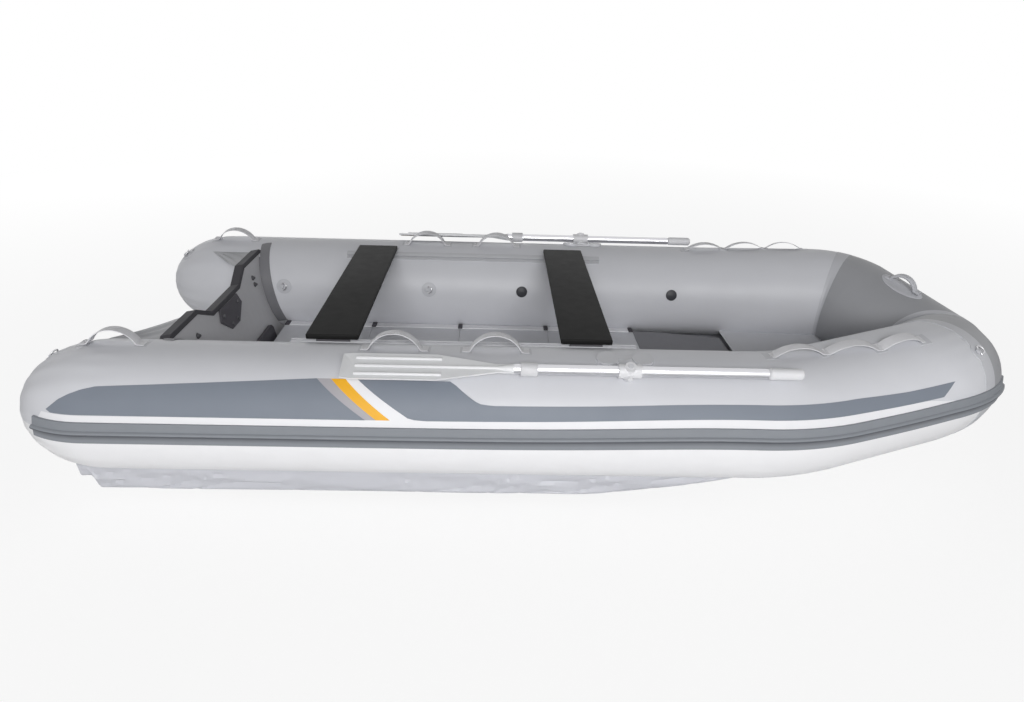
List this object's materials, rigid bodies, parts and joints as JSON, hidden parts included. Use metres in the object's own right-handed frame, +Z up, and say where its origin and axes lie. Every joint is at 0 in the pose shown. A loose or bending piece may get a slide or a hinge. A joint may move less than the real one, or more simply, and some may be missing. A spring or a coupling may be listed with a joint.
{
  "type": "inflatable boat",
  "caption": "Inflatable dinghy with domed air tubes, mitred bow, leaning transom, metal floor panels, sliding benches and swivelling oars on rowlocks.",
  "frame": {"origin": "middle of the boat's box on the ground plane under the keel strip", "axes": "+X toward the bow, +Y to port, +Z up"},
  "size_m": [3.8578, 1.7682, 0.659],
  "materials": {
    "tube_fabric": "coated cloth, light grey, glued seams",
    "bow_fabric": "coated cloth, light grey",
    "bottom_fabric": "coated cloth, mid grey",
    "strake_rubber": "moulded rubber, mid grey",
    "keel_rubber": "rubber strip",
    "transom_board": "sealed marine plywood, grey",
    "dark_plastic": "dark moulded plastic",
    "trim_rubber": "dark rubber channel",
    "steel": "stainless steel",
    "floor_aluminium": "ribbed anodised panel",
    "bow_board_ply": "sealed plywood, dark grey",
    "bench_board": "dark bench board",
    "rail_plastic": "grey extruded rail",
    "strap_webbing": "flat webbing, light grey",
    "valve_plastic": "dark moulded plastic",
    "patch_fabric": "coated cloth patch with steel ring",
    "grip_rubber": "moulded rubber",
    "fitting_plastic": "moulded grey plastic",
    "oar_aluminium": "white lacquered tube",
    "blade_plastic": "moulded light grey plastic",
    "white_plastic": "white moulded plastic"
  },
  "bodies": {
    "hull": {"bow_board": "bow_board_ply", "bow_grip": "grip_rubber", "drain_plug": "dark_plastic", "fabric_bottom": "bottom_fabric", "floor_panel_1": "floor_aluminium", "floor_panel_2": "floor_aluminium", "floor_panel_3": "floor_aluminium", "floor_panel_4": "floor_aluminium", "inner_motor_pad": "dark_plastic", "keel_strip": "keel_rubber", "outer_motor_pad": "dark_plastic", "port_bilge_keel": "bottom_fabric", "port_bow_strap": "strap_webbing", "port_bow_tube": "bow_fabric", "port_flange_strip": "trim_rubber", "port_gusset": "tube_fabric", "port_lifting_straps": "strap_webbing", "port_ring_patches": "patch_fabric", "port_rowlock": "fitting_plastic", "port_rubbing_strake": "strake_rubber", "port_seat_rail": "rail_plastic", "port_stringer": "floor_aluminium", "port_tube": "tube_fabric", "port_valves": "valve_plastic", "starboard_bilge_keel": "bottom_fabric", "starboard_bow_strap": "strap_webbing", "starboard_bow_tube": "bow_fabric", "starboard_flange_strip": "trim_rubber", "starboard_gusset": "tube_fabric", "starboard_lifting_straps": "strap_webbing", "starboard_ring_patches": "patch_fabric", "starboard_rowlock": "fitting_plastic", "starboard_rubbing_strake": "strake_rubber", "starboard_seat_rail": "rail_plastic", "starboard_stringer": "floor_aluminium", "starboard_tube": "tube_fabric", "starboard_valves": "valve_plastic", "towing_eyes": "steel", "transom": "transom_board", "transom_foot_rail": "dark_plastic", "transom_trim": "trim_rubber"},
    "aft_bench": {"aft_seat": "bench_board", "aft_seat_shoes": "dark_plastic"},
    "fore_bench": {"fore_seat": "bench_board", "fore_seat_shoes": "dark_plastic"},
    "port_oar": {"port_oar_shaft": "oar_aluminium", "port_oar_blade": "blade_plastic", "port_oar_grip": "white_plastic", "port_oar_sleeve": "white_plastic", "port_oar_stop": "fitting_plastic"},
    "starboard_oar": {"starboard_oar_shaft": "oar_aluminium", "starboard_oar_blade": "blade_plastic", "starboard_oar_grip": "white_plastic", "starboard_oar_sleeve": "white_plastic", "starboard_oar_stop": "fitting_plastic"}
  },
  "joints": [
    {"name": "aft_bench_slide", "type": "slide", "parent": "hull", "child": "aft_bench", "axis": [1, 0, 0], "range_m": [-0.05, 0.35]},
    {"name": "fore_bench_slide", "type": "slide", "parent": "hull", "child": "fore_bench", "axis": [1, 0, 0], "range_m": [-0.35, 0.08]},
    {"name": "port_oar_swing", "type": "hinge", "parent": "hull", "child": "port_oar", "pos_m": [0.14314, 0.77151, 0.5889], "axis": [0, -0.4924, -0.8704], "range_deg": [0, 115]},
    {"name": "starboard_oar_swing", "type": "hinge", "parent": "hull", "child": "starboard_oar", "pos_m": [0.14314, -0.77151, 0.5889], "axis": [0, -0.4924, 0.8704], "range_deg": [0, 115]}
  ]
}
